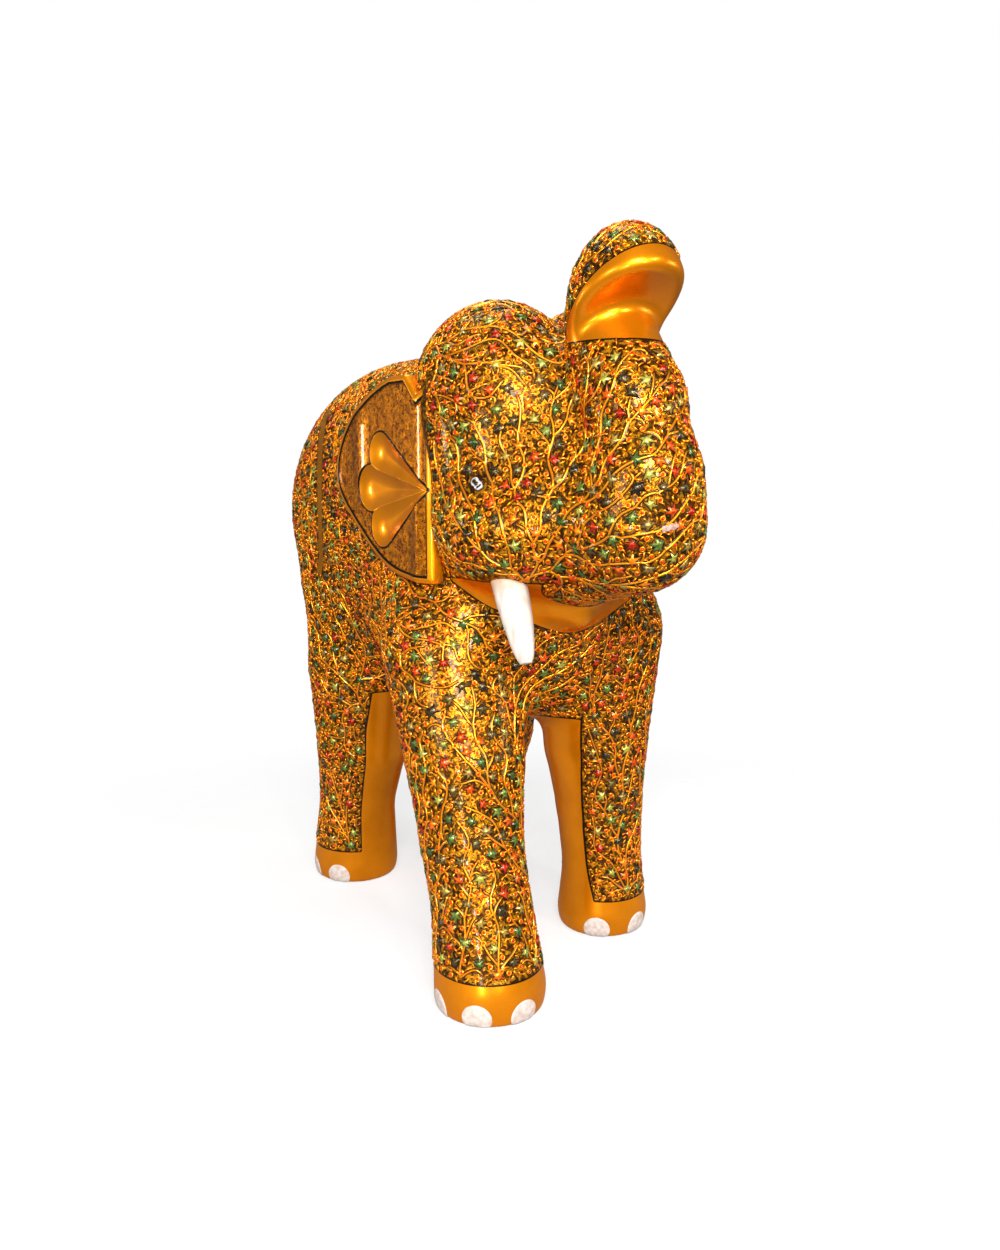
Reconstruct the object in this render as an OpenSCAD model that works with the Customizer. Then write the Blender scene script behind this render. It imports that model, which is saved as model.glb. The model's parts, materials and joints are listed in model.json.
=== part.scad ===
// Carved wooden elephant, walking, with its trunk curled up against its forehead.
// It faces -Y and stands on z = 0, with +Z up. Lengths are millimetres.

/* [Body] */
// Half width of the chest
chest_w = 55; // [52:1:58]
// Half width of the barrel between the legs
belly_w = 61; // [55:1:65]
// Half width of the haunches
haunch_w = 67; // [60:1:70]
// Height of the middle of the back above the ground
back_z = 253; // [240:1:258]
// Height of the flat joint between a leg and the body
leg_joint_z = 92; // [84:1:96]

/* [Legs] */
// Radius of a front foot
front_foot_r = 22; // [19:0.5:24]
// Radius of a hind foot
hind_foot_r = 21.3; // [19:0.5:24]
// Distance from the middle of the body to the middle of a foot
track = 40; // [36:1:42]
// How far the right front foot is put forward
stride_front = 45; // [20:1:50]
// How far the left hind foot trails the right one
stride_hind = 14; // [0:1:30]

/* [Head] */
// Half width of the head at the eyes
head_w = 51; // [46:1:54]
// Radius of each dome on the forehead
dome_r = 37; // [33:1:38]
// Thickness of an ear plate
ear_t = 10; // [8:1:12]
// Length of an ear from front to back
ear_l = 72; // [64:1:76]
// Height of an ear
ear_h = 82; // [74:1:84]
// Outward slope of an ear towards its rear edge, in degrees
ear_slope = 9.5; // [8:0.5:11]

/* [Trunk and tusk] */
// Radius of the rising trunk at its middle
trunk_r = 16.5; // [15:0.5:19]
// Half width of the trunk tip
tip_w = 19.5; // [17:0.5:21]
// Radius of the hollow across the trunk tip
scoop_r = 17; // [14:0.5:18]
// Radius of the tusk at its root
tusk_r = 6.5; // [5.5:0.25:7]
// Depth of the tusk's socket
tusk_socket = 14; // [10:1:16]

/* [Joinery] */
// Radius of the dowels in the legs and neck
dowel_r = 6; // [4:0.5:7]
// Length of a leg dowel
leg_dowel_l = 44; // [30:2:50]
// Radius of the pins that hold the ears
pin_r = 2; // [1.5:0.25:2.5]
// Clearance around each dowel and pin, for glue
glue = 0.05; // [0.02:0.01:0.1]

/* [Small pieces] */
// Radius of a toenail
nail_r = 5.8; // [4:0.2:6]
// Radius of an eye
eye_r = 3; // [2:0.25:4]

/* [Hidden] */

// Moves the elephant along Y so that the origin is under the middle of its length
y_shift = 12.1;
gold = [0.72, 0.47, 0.12];
lacquer = [0.58, 0.42, 0.17];
bone = [0.93, 0.87, 0.80];
beech = [0.80, 0.66, 0.46];
// Exponent of the soft union: a higher number makes a tighter crease
soft = 14;
far = 400;

// Ellipsoids [centre, radii] that make up the body
chest = [[0, -30, 170], [chest_w, 56, 71]];
belly = [[0, 16, 176], [belly_w, 62, back_z - 176]];
haunch = [[0, 64, 184], [haunch_w, 59, 74]];
neck = [[0, -48, 203], [44, 54, 44]];
head_core = [[0, -70, 205], [head_w, 40, 50]];
trunk_root = [[0, -92, 206], [33, 36, 50]];
chin = [[0, -78, 158], [20, 17, 14]];
function dome(side) = [[side * 21, -60, 235], [32, dome_r, dome_r]];
function cheek(side) = [[side * 27, -80, 184], [25, 34, 25]];
body_mid = [0, 14, 176];
head_mid = [0, -68, 210];

// Feet and legs: [x, y, z, radius] from the sole up
function leg_rows(side, y, lean, foot_r) = [
    [side * track, y, 0, foot_r - 2],
    [side * track, y, 2, foot_r - 0.3],
    [side * track, y, 9, foot_r],
    [side * track, y + lean * 0.10, 20, foot_r - 1.2],
    [side * (track - 0.5), y + lean * 0.28, 38, foot_r - 2.8],
    [side * (track - 1), y + lean * 0.55, 60, foot_r - 2.0],
    [side * (track - 2.5), y + lean * 0.86, leg_joint_z, foot_r + 1.7],
    [side * (track - 4.5), y + lean, 116, foot_r + 5],
    [side * (track - 6), y + lean * 1.12, 142, foot_r + 8]];
left_front_y = -46.6;
right_front_y = left_front_y - stride_front;
right_hind_y = 66;
left_hind_y = right_hind_y + stride_hind;

// Seams: a point on each and the angle that turns +Z onto its normal about X
neck_at = [0, -54, 195];
neck_turn = 56.3;
trunk_at = [0, -102, 195];
trunk_turn = 82.5;

function exit_of(p, d, e) =
    let (q = [for (i = [0:2]) (p[i] - e[0][i]) / e[1][i]])
    let (v = [for (i = [0:2]) d[i] / e[1][i]])
    let (b = q * v)
    let (k = b * b - (v * v) * (q * q - 1))
    k <= 0 ? 0 : max(0, (sqrt(k) - b) / (v * v));
function soft_max(r) = 100 * pow([for (x = r) pow(x / 100, soft)] * [for (x = r) 1], 1 / soft);
function skin_at(c, d, parts) = c + d * soft_max([for (e = parts) exit_of(c, d, e)]);

// A closed skin around several ellipsoids, as seen from one point inside them all
module blob(c, parts, rows, cols) {
    rings = [for (i = [1:rows - 1]) for (j = [0:cols - 1])
        let (a = 180 * i / rows)
        let (b = 360 * (j + 0.5) / cols)
        skin_at(c, [sin(a) * sin(b), -cos(a), sin(a) * cos(b)], parts)];
    points = concat([skin_at(c, [0, -1, 0], parts)], rings, [skin_at(c, [0, 1, 0], parts)]);
    last = len(points) - 1;
    faces = concat(
        [for (j = [0:cols - 1]) [0, 1 + j, 1 + (j + 1) % cols]],
        [for (i = [0:rows - 3]) for (j = [0:cols - 1])
            [1 + i * cols + j, 1 + (i + 1) * cols + j, 1 + i * cols + (j + 1) % cols]],
        [for (i = [0:rows - 3]) for (j = [0:cols - 1])
            [1 + (i + 1) * cols + j, 1 + (i + 1) * cols + (j + 1) % cols, 1 + i * cols + (j + 1) % cols]],
        [for (j = [0:cols - 1])
            [last, last - cols + (j + 1) % cols, last - cols + j]]);
    polyhedron(points, faces, convexity = 6);
}

// A smooth curve through the rows of a table, n steps between two rows
function glide(a, b, c, d, t) =
    0.5 * (2 * b + (c - a) * t + (2 * a - 5 * b + 4 * c - d) * t * t
    + (3 * b - a - 3 * c + d) * t * t * t);
function smooth_rows(tab, n) =
    let (m = len(tab) - 1)
    concat([for (i = [0:m - 1]) for (k = [0:n - 1])
        glide(tab[max(i - 1, 0)], tab[i], tab[i + 1], tab[min(i + 2, m)], k / n)], [tab[m]]);

// A solid with level rings; each row is [x, y, z, radius in X, radius in Y]
module level_loft(rows, sides) {
    n = len(rows);
    points = [for (r = rows) for (j = [0:sides - 1])
        [r[0] + r[3] * cos(360 * j / sides), r[1] + r[4] * sin(360 * j / sides), r[2]]];
    faces = concat(
        [[for (j = [0:sides - 1]) j]],
        [for (i = [0:n - 2]) for (j = [0:sides - 1])
            [i * sides + j, (i + 1) * sides + j, i * sides + (j + 1) % sides]],
        [for (i = [0:n - 2]) for (j = [0:sides - 1])
            [(i + 1) * sides + j, (i + 1) * sides + (j + 1) % sides, i * sides + (j + 1) % sides]],
        [[for (j = [sides - 1:-1:0]) (n - 1) * sides + j]]);
    polyhedron(points, faces, convexity = 6);
}

module placed() { translate([0, y_shift, 0]) children(); }
module on_neck() { translate(neck_at) rotate([neck_turn, 0, 0]) children(); }
module on_trunk() { translate(trunk_at) rotate([trunk_turn, 0, 0]) children(); }
module half_space() { translate([-far / 2, -far / 2, 0]) cube(far); }
module side_of(s) { if (s > 0) children(); else mirror([1, 0, 0]) children(); }

function leg_y(front, side) = front
    ? (side < 0 ? right_front_y : left_front_y)
    : (side < 0 ? right_hind_y : left_hind_y);
function leg_lean(front, side) = front
    ? (side < 0 ? 36 : 4)
    : (side < 0 ? -8 : -20);
function hip_y(front, side) = leg_y(front, side) + leg_lean(front, side) * 0.9;

// A leg from its sole to the joint, or the stub of the body from the joint up
module leg(front, side, stub) {
    foot = front ? front_foot_r : hind_foot_r;
    rows = smooth_rows(leg_rows(side, leg_y(front, side), leg_lean(front, side), foot), 3);
    level_loft([for (r = rows)
        if (stub ? r[2] > leg_joint_z - 0.01 : r[2] < leg_joint_z + 0.01)
            [r[0], r[1], r[2], r[3], r[3]]], 32);
}
module leg_dowel(front, side, grow) {
    translate([side * (track - 3), hip_y(front, side), leg_joint_z - leg_dowel_l / 2 - grow])
        cylinder(h = leg_dowel_l + 2 * grow, r = dowel_r + grow, $fn = 48);
}
module nail(front, side, turn, grow) {
    foot = front ? front_foot_r : hind_foot_r;
    translate([side * track, leg_y(front, side), 0])
        intersection() {
            rotate([0, 0, side * turn]) rotate([90, 0, 0])
                translate([0, nail_z, foot - 2.2 - grow]) cylinder(h = grow > 0 ? 6 : 2.4, r = nail_r + grow, $fn = 32);
            translate([-far / 2, -far / 2, 0.6 - grow]) cube(far);
        }
}
// Height of the middle of a toenail above the sole, which cuts it off
nail_z = 3.6;
// Turns of the toenails round a foot, from straight ahead towards the outside
function nail_turns(front, side) = !front ? [45, 96] : side > 0 ? [-39, 21, 81] : [-11, 40, 92];
module nails(front, side, grow) {
    for (t = nail_turns(front, side)) nail(front, side, t, grow);
}
module one_leg(front, side) {
    color(lacquer) placed() difference() {
        leg(front, side, false);
        leg_dowel(front, side, glue);
        nails(front, side, glue);
    }
}

// Outline of an ear in its own plane: straight front edge, round rear, slanted below
module ear_outline() {
    difference() {
        intersection() {
            translate([0, ear_h / 2 + 2]) scale([ear_l / (ear_h / 2), 1]) circle(r = ear_h / 2 + 1, $fn = 96);
            translate([0, 0]) square([ear_l + 2, ear_h]);
        }
        translate([ear_l * 0.62, -ear_h * 0.23]) rotate(38) square([ear_l, ear_h * 0.3]);
    }
}
// Outer face of an ear at its front edge, and how far behind that face a pin starts
ear_x = 53.5;
ear_front_y = -64;
pin_depth = 3;
pin_l = 20;
module ear_plate(side) {
    translate([side * ear_x, ear_front_y, 162]) rotate([0, 0, 90 - side * ear_slope]) rotate([90, 0, 0])
        translate([0, 0, side > 0 ? -ear_t : 0]) linear_extrude(ear_t) ear_outline();
}
module ear_pin(side, y, grow) {
    face_x = ear_x + (y - ear_front_y) * tan(ear_slope);
    translate([side * (face_x - pin_depth), y, 204]) rotate([0, -side * 90, 0])
        cylinder(h = pin_l + grow, r = pin_r + grow, $fn = 32);
}
module ear_pin_pair(side, grow) {
    ear_pin(side, -46, grow);
    ear_pin(side, -14, grow);
}

tusk_at = [-33, -93, 167];
tusk_bend = [-34, -102, 152];
tusk_end = [-34.5, -108.5, 140.5];
module along_tusk() {
    d = tusk_bend - tusk_at;
    translate(tusk_at) rotate([0, acos(d[2] / norm(d)), atan2(d[1], d[0])]) children();
}
module tusk_socket_cut(grow) {
    along_tusk() translate([0, 0, -tusk_socket - grow]) cylinder(h = far / 8, r = tusk_r + grow, $fn = 48);
}

eye_at = [-44.9, -92.2, 201.8];
module eye_bead(side, grow) {
    side_of(-side) translate(eye_at) rotate([0, 0, -60]) rotate([90, 0, 0])
        translate([0, 0, -3 - grow]) cylinder(h = 3.6 + grow, r = eye_r + grow, $fn = 32);
}

// The tail from its root down: [x, y, z, radius]
tail_rows = [[0, 112, 228, 5.5], [0, 122, 202, 5], [0, 123, 170, 4.5], [0, 116, 146, 4.5], [0, 106, 130, 6.5]];
module tail_chain(grow) {
    for (i = [0:len(tail_rows) - 2])
        hull() for (k = [i, i + 1])
            translate([for (j = [0:2]) tail_rows[k][j]]) sphere(r = tail_rows[k][3] + grow, $fn = 24);
}
module tail_peg_rod(grow) {
    translate([0, 96 - grow, 222]) rotate([-90, 0, 0]) cylinder(h = 16 + grow, r = 3 + grow, $fn = 32);
}
module neck_dowel_pair(grow) {
    for (x = [-20, 20]) on_neck() translate([x, 0, -20 - grow]) cylinder(h = 40 + 2 * grow, r = dowel_r + grow, $fn = 48);
}
module trunk_dowel_rod(grow) {
    on_trunk() translate([0, 0, -16 - grow]) cylinder(h = 32 + 2 * grow, r = dowel_r + grow, $fn = 48);
}

module torso() {
    color(lacquer) placed() difference() {
        union() {
            blob(body_mid, [chest, belly, haunch, neck], 32, 40);
            for (f = [true, false]) for (s = [-1, 1]) leg(f, s, true);
        }
        on_neck() half_space();
        for (f = [true, false]) for (s = [-1, 1]) leg_dowel(f, s, glue);
        neck_dowel_pair(glue);
        for (s = [-1, 1]) ear_plate(s);
        for (s = [-1, 1]) ear_pin_pair(s, glue);
        tail_chain(0);
        tail_peg_rod(glue);
    }
}
module head() {
    color(lacquer) placed() difference() {
        blob(head_mid, [head_core, dome(-1), dome(1), cheek(-1), cheek(1), trunk_root, neck, chin], 28, 36);
        on_neck() mirror([0, 0, 1]) half_space();
        on_trunk() half_space();
        neck_dowel_pair(glue);
        trunk_dowel_rod(glue);
        for (s = [-1, 1]) ear_plate(s);
        for (s = [-1, 1]) ear_pin(s, -46, glue);
        tusk_socket_cut(glue);
        for (s = [-1, 1]) eye_bead(s, glue);
    }
}
// The curl of the trunk: [x, y, z, radius in X, radius in Y]
trunk_rows = [
    [0, -112, 156, 5, 5],
    [0, -112, 158, 12, 13],
    [0, -113, 164, 21, 25],
    [0, -115, 174, 26, 33],
    [0, -118, 186, 26, 34],
    [0, -125, 198, 21, 27],
    [0, -131, 210, trunk_r + 1, 19.5],
    [0, -127, 226, trunk_r - 0.5, 17],
    [0, -116, 241, trunk_r - 1.5, 16],
    [0, -110, 251, trunk_r - 1, 17],
    [0, -113, 261, tip_w - 0.5, 22],
    [0, -115, 271, tip_w, 23.5],
    [0, -116, 282, tip_w - 2, 21],
    [0, -117, 290, tip_w - 7, 14],
    [0, -118, 295, 4, 5]];
module trunk() {
    color(lacquer) placed() difference() {
        union() {
            level_loft(smooth_rows(trunk_rows, 3), 32);
            blob([0, -92, 206], [trunk_root], 16, 24);
        }
        on_trunk() mirror([0, 0, 1]) half_space();
        translate([-far / 2, -144, 261]) rotate([0, 90, 0]) cylinder(h = far, r = scoop_r, $fn = 96);
        trunk_dowel_rod(glue);
    }
}
module leg_front_right() { one_leg(true, -1); }
module leg_front_left() { one_leg(true, 1); }
module leg_hind_right() { one_leg(false, -1); }
module leg_hind_left() { one_leg(false, 1); }

module ear(side) {
    color(gold) placed() difference() {
        ear_plate(side);
        ear_pin_pair(side, glue);
    }
}
module ear_right() { ear(-1); }
module ear_left() { ear(1); }

module tusk_right() {
    color(bone) placed() {
        along_tusk() translate([0, 0, -tusk_socket]) cylinder(h = tusk_socket + 4, r = tusk_r, $fn = 48);
        hull() {
            along_tusk() translate([0, 0, 3]) cylinder(h = 1, r = tusk_r, $fn = 48);
            translate(tusk_bend) sphere(r = tusk_r - 0.6, $fn = 32);
        }
        hull() {
            translate(tusk_bend) sphere(r = tusk_r - 0.6, $fn = 32);
            translate(tusk_end) sphere(r = tusk_r - 3, $fn = 32);
        }
    }
}
module eye_right() { color(bone) placed() eye_bead(-1, 0); }
module eye_left() { color(bone) placed() eye_bead(1, 0); }
module tail() {
    color(gold) placed() difference() {
        tail_chain(0);
        tail_peg_rod(glue);
    }
}
module toenails_front_right() { color(bone) placed() nails(true, -1, 0); }
module toenails_front_left() { color(bone) placed() nails(true, 1, 0); }
module toenails_hind_right() { color(bone) placed() nails(false, -1, 0); }
module toenails_hind_left() { color(bone) placed() nails(false, 1, 0); }
module leg_dowels() {
    color(beech) placed() for (f = [true, false]) for (s = [-1, 1]) leg_dowel(f, s, 0);
}
module neck_dowels() { color(beech) placed() neck_dowel_pair(0); }
module trunk_dowel() { color(beech) placed() trunk_dowel_rod(0); }
module ear_pins() { color(beech) placed() for (s = [-1, 1]) ear_pin_pair(s, 0); }
module tail_peg() { color(beech) placed() tail_peg_rod(0); }

torso();
head();
trunk();
leg_front_right();
leg_front_left();
leg_hind_right();
leg_hind_left();
ear_right();
ear_left();
tusk_right();
eye_right();
eye_left();
tail();
toenails_front_right();
toenails_front_left();
toenails_hind_right();
toenails_hind_left();
leg_dowels();
neck_dowels();
trunk_dowel();
ear_pins();
tail_peg();
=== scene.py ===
import json
import math
import bpy
import bmesh
import numpy as np
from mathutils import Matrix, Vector, kdtree

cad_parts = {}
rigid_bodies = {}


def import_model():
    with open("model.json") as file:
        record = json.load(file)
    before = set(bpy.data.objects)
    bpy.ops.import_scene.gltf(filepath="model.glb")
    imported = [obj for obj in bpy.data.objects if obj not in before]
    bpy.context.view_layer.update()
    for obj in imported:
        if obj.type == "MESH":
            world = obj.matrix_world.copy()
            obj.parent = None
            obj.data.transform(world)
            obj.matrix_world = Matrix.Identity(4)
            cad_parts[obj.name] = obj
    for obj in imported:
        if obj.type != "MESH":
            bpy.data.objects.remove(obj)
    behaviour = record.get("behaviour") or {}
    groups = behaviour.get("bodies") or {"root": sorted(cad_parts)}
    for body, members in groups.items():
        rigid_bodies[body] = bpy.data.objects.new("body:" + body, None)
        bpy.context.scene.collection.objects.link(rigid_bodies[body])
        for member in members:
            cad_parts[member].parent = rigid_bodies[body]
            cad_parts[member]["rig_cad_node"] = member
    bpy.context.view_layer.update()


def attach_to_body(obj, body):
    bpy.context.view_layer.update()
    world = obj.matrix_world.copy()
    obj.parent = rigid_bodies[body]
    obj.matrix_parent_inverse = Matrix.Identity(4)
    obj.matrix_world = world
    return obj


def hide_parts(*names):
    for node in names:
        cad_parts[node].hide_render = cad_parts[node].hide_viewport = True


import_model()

mm = 0.001
chance = np.random.default_rng(12)

# Everything is worked out in the carver's frame, in millimetres: the figure faces -Y and stands on
# z = 0. shiftY moves it so that the origin is under the middle of its length, as in the frame.
# low and high bound the skin, step is the size of its cells; the joints are planes (point, normal).
figure = dict(
    shiftY=12.1, step=1.2, low=(-72, -158, -4), high=(72, 136, 301),
    neckPoint=(0, -54, 195), neckNormal=(0, -0.832, 0.5547),
    trunkPoint=(0, -102, 195), trunkNormal=(0, -0.9914, 0.1305), legTop=92)

# Balls are (centre, radii), limbs are (point, radius, point, radius), chains are [(point, radius), ...];
# tipHollow is the middle (y, z) and radius of a cylinder across the figure
shape = dict(
    chest=((0, -30, 168), (54.5, 56, 69)),
    belly=((0, 16, 181), (60.5, 62, 79.5)),
    rump=((0, 64, 186.5), (67, 60, 74.5)),
    neck=((0, -40, 200), 44, (0, -62, 208), 42),
    dome=((21, -60, 235), (32, 37, 37)),
    face=((0, -70, 205), (51, 40, 50)),
    cheek=((27, -80, 185), (25, 34, 23.5)),
    jaw=((22, -72, 166), 12, (0, -88, 152), 6.5),
    trunkRoot=((0, -84, 226), 28, (0, -96, 192), 34),
    curl=[((0, -100, 190), 30), ((0, -128, 188), 22), ((0, -133, 205), 17.5),
          ((0, -125, 231), 16), ((0, -114, 246), 15), ((0, -109, 257), 14)],
    tipDome=((0, -119, 264), (19.5, 24, 28)),
    tipHollow=(-158, 216.3, 59.5))


# Distances: each function takes points (N, 3) and gives the distance to a form, minus inside.
# Smooth union: the smaller distance, less a little where both are within k of each other
def blend(a, b, k):
    h = np.clip(0.5 + 0.5 * (b - a) / k, 0, 1)
    return b + (a - b) * h - k * h * (1 - h)


# Smooth intersection: the larger distance, with a round edge
def meet(a, b, k):
    return -blend(-a, -b, k)


# Ellipsoid: the scaled length, times itself less one, over the length scaled twice
def ball(p, centre, radii):
    q = p - np.float32(centre)
    r = np.float32(radii)
    k0 = np.sqrt(((q / r) ** 2).sum(1))
    k1 = np.sqrt(((q / (r * r)) ** 2).sum(1))
    return k0 * (k0 - 1) / np.maximum(k1, 1e-6)


# Two balls of different size and the cone that touches both
def limb(p, a, ra, b, rb):
    a, b = np.float32(a), np.float32(b)
    ba = b - a
    l2 = float((ba * ba).sum())
    rr = ra - rb
    a2 = l2 - rr * rr
    pa = p - a
    y = pa @ ba
    z = y - l2
    x = pa * l2 - y[:, None] * ba
    x2 = (x * x).sum(1)
    y2, z2 = y * y * l2, z * z * l2
    k = np.sign(rr) * rr * rr * x2
    d = (np.sqrt(x2 * a2 / l2) + y * rr) / l2 - ra
    d = np.where(np.sign(y) * a2 * y2 < k, np.sqrt(x2 + y2) / l2 - ra, d)
    return np.where(np.sign(z) * a2 * z2 > k, np.sqrt(x2 + z2) / l2 - rb, d)


# Limbs one after another through [(point, radius), ...]
def chain(p, stops, k):
    d = None
    for (a, ra), (b, rb) in zip(stops[:-1], stops[1:]):
        e = limb(p, a, ra, b, rb)
        d = e if d is None else blend(d, e, k)
    return d


legStops = dict(
    frontRight=[((-35, -46, 136), 29), ((-38, -66, 90), 23.5), ((-40, -75, 62), 20),
                ((-40, -84, 37), 19.2), ((-40, -91, 8), 22)],
    frontLeft=[((36.5, -43, 137), 29.5), ((38, -42, 85), 23), ((39, -44, 57), 19.2),
               ((40, -45.6, 28), 17.6), ((40, -46.6, 8), 20.3)],
    hindRight=[((-32, 60, 146), 31), ((-36, 58, 111), 27.5), ((-38, 58, 69), 22.2),
               ((-39.5, 63, 40), 18.6), ((-40, 66, 8), 21.3)],
    hindLeft=[((32, 60, 146), 31), ((36, 60, 111), 27.5), ((38, 64, 69), 22.2),
              ((39.5, 74, 40), 18.6), ((40, 80, 8), 21.3)],
)


def torsoForm(p):
    d = blend(ball(p, *shape["chest"]), ball(p, *shape["belly"]), 20)
    d = blend(d, ball(p, *shape["rump"]), 22)
    d = blend(d, limb(p, *shape["neck"]), 15)
    for stops in legStops.values():
        d = blend(d, meet(chain(p, stops, 1.5), -p[:, 2], 2.5), 14)
    return d


# The head is the same to both sides
def headForm(p):
    m = p.copy()
    m[:, 0] = np.abs(m[:, 0])
    d = blend(ball(m, *shape["dome"]), ball(m, *shape["face"]), 14)
    d = blend(d, ball(m, *shape["cheek"]), 12)
    return blend(d, limb(m, *shape["jaw"]), 6)


# The raised tip is a dome whose underside is hollowed by a wide cylinder across the figure
def trunkForm(p):
    d = blend(limb(p, *shape["trunkRoot"]), chain(p, shape["curl"], 8), 6)
    y, z, radius = shape["tipHollow"]
    hollow = np.hypot(p[:, 1] - y, p[:, 2] - z) - radius
    return blend(d, meet(ball(p, *shape["tipDome"]), -hollow, 4.5), 6)


def carving(p):
    d = blend(headForm(p), trunkForm(p), 9)
    return blend(torsoForm(p), d, 8)


# Slope of the carving: differences over a quarter of a millimetre to either side
def slope(p):
    e = np.eye(3, dtype=np.float32) * 0.25
    return np.stack([(carving(p + v) - carving(p - v)) * 2 for v in e], 1)


# Vectors made one long
def unit(v):
    return v / np.maximum(np.linalg.norm(v, axis=1, keepdims=True), 1e-9)


# Moves points along the slope until they lie on the carving
def settle(p, rounds):
    for _ in range(rounds):
        g = slope(p)
        p = p - g * (carving(p) / np.maximum((g * g).sum(1), 0.05))[:, None]
    return p.astype(np.float32)


# The skin: a net of four-sided faces, one point in each cell that the surface crosses. Whole blocks of
# cells that lie far from the surface are passed over.
def netOf(form, low, high, step, block=5):
    low = np.float32(low)
    count = np.ceil((np.float32(high) - low) / step / block).astype(int)
    size = count * block
    axes = [low[i] + step * block * (np.arange(count[i]) + 0.5) for i in range(3)]
    centres = np.stack(np.meshgrid(*axes, indexing="ij"), -1).reshape(-1, 3).astype(np.float32)
    coarse = form(centres).reshape(count)
    wanted = np.abs(coarse) < step * block * 1.25
    value = np.full(size + 1, 9.0, np.float32)
    spread = coarse
    for axis in range(3):
        spread = np.repeat(spread, block, axis)
        wanted = np.repeat(wanted, block, axis)
    value[:-1, :-1, :-1] = spread
    mark = np.zeros(size + 1, bool)
    for corner in np.ndindex(2, 2, 2):
        part = tuple(slice(c, c + s) for c, s in zip(corner, size))
        mark[part] |= wanted
    at = np.argwhere(mark)
    value[mark] = form((low + step * at).astype(np.float32))
    inside = value < 0
    some = np.zeros(size, np.int8)
    for corner in np.ndindex(2, 2, 2):
        some += inside[tuple(slice(c, c + s) for c, s in zip(corner, size))]
    cells = np.argwhere((some > 0) & (some < 8))
    number = np.full(size, -1, np.int32)
    number[tuple(cells.T)] = np.arange(len(cells))
    total = np.zeros((len(cells), 3))
    weight = np.zeros(len(cells))
    for axis in range(3):
        others = [a for a in range(3) if a != axis]
        for u, v in np.ndindex(2, 2):
            start = np.zeros(3, int)
            start[others[0]], start[others[1]] = u, v
            end = start.copy()
            end[axis] = 1
            a = value[tuple((cells + start).T)]
            b = value[tuple((cells + end).T)]
            crossed = (a < 0) != (b < 0)
            t = np.where(crossed, a / np.where(crossed, a - b, 1), 0)
            total += crossed[:, None] * (start + t[:, None] * (end - start))
            weight += crossed
    points = low + step * (cells + total / weight[:, None])
    faces = []
    for axis in range(3):
        o1, o2 = (axis + 1) % 3, (axis + 2) % 3
        ahead = [slice(None)] * 3
        ahead[axis] = slice(1, None)
        back = [slice(None)] * 3
        back[axis] = slice(None, -1)
        flip = inside[tuple(ahead)] != inside[tuple(back)]
        edges = np.argwhere(flip)
        edges = edges[(edges[:, o1] > 0) & (edges[:, o2] > 0)
                      & (edges[:, o1] < size[o1]) & (edges[:, o2] < size[o2])]
        steps = np.zeros((4, 3), int)
        steps[1, o1] = steps[2, o1] = -1
        steps[2, o2] = steps[3, o2] = -1
        quads = np.stack([number[tuple((edges + s).T)] for s in steps], 1)
        outward = inside[tuple(edges.T)]
        faces.append(np.where(outward[:, None], quads, quads[:, ::-1]))
    return points.astype(np.float32), np.concatenate(faces)


# Heights and widths at which the painted ground ends; the haunch band is the line where a darker brown band
# is painted as the shade of a haunch groove that the skin does not carve
paint = dict(footBand=17, innerFront=19.5, innerLean=0.09, innerHind=44.5, bellyLine=101, jawLine=166,
             tipNeck=251.5, tipNormal=(0.614, 0.789), tipLine=138)
haunch = dict(y=36.8, z=185, bend=0.011, low=158, high=240, halfWidth=2.2)


# Signed millimetres: plus is painted with leaves, minus is plain gold
def paintOf(p):
    x, y, z = np.abs(p[:, 0]), p[:, 1], p[:, 2]
    front = paint["innerFront"] + paint["innerLean"] * (paint["bellyLine"] - z) * (p[:, 0] > 0)
    inner = front + (paint["innerHind"] - front) * np.clip((y - 5) / 30, 0, 1)
    legs = np.maximum(x - inner, z - paint["bellyLine"])
    head, trunk = headForm(p), trunkForm(p)
    jaw = np.maximum(np.maximum(z - paint["jawLine"], head - torsoForm(p) - 2.5), head - trunk)
    ny, nz = paint["tipNormal"]
    tip = np.maximum(np.maximum(ny * y + nz * z - paint["tipLine"], paint["tipNeck"] - z), y + 100)
    return np.minimum(np.minimum(legs, z - paint["footBand"]), np.minimum(jaw, tip))


# Distance from the middle of the haunch line, a parabola over the height
def haunchOf(p):
    y, z = p[:, 1], p[:, 2]
    h = z - haunch["z"]
    line = np.abs(y - (haunch["y"] + haunch["bend"] * h ** 2)) / np.sqrt(1 + (2 * haunch["bend"] * h) ** 2)
    return np.where((np.abs(p[:, 0]) > 45) & (z > haunch["low"]) & (z < haunch["high"]), line, 9)


# From the carver's frame to the shared one, in metres
def toFrame(p):
    return (np.asarray(p) + (0, figure["shiftY"], 0)) * mm


# Puts arrays of faces, each of one number of corners, into a mesh
def meshOf(name, points, faceSets):
    mesh = bpy.data.meshes.new(name)
    faceSets = [np.asarray(f) for f in faceSets if len(f)]
    loops = np.concatenate([f.reshape(-1) for f in faceSets]).astype(np.int32)
    sizes = np.concatenate([np.full(len(f), f.shape[1]) for f in faceSets])
    mesh.vertices.add(len(points))
    mesh.vertices.foreach_set("co", toFrame(points).astype(np.float32).reshape(-1))
    mesh.loops.add(len(loops))
    mesh.loops.foreach_set("vertex_index", loops)
    mesh.polygons.add(len(sizes))
    mesh.polygons.foreach_set("loop_start", (np.cumsum(sizes) - sizes).astype(np.int32))
    mesh.polygons.foreach_set("use_smooth", np.ones(len(sizes), bool))
    mesh.update(calc_edges=True)
    mesh.validate()
    return mesh


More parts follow.
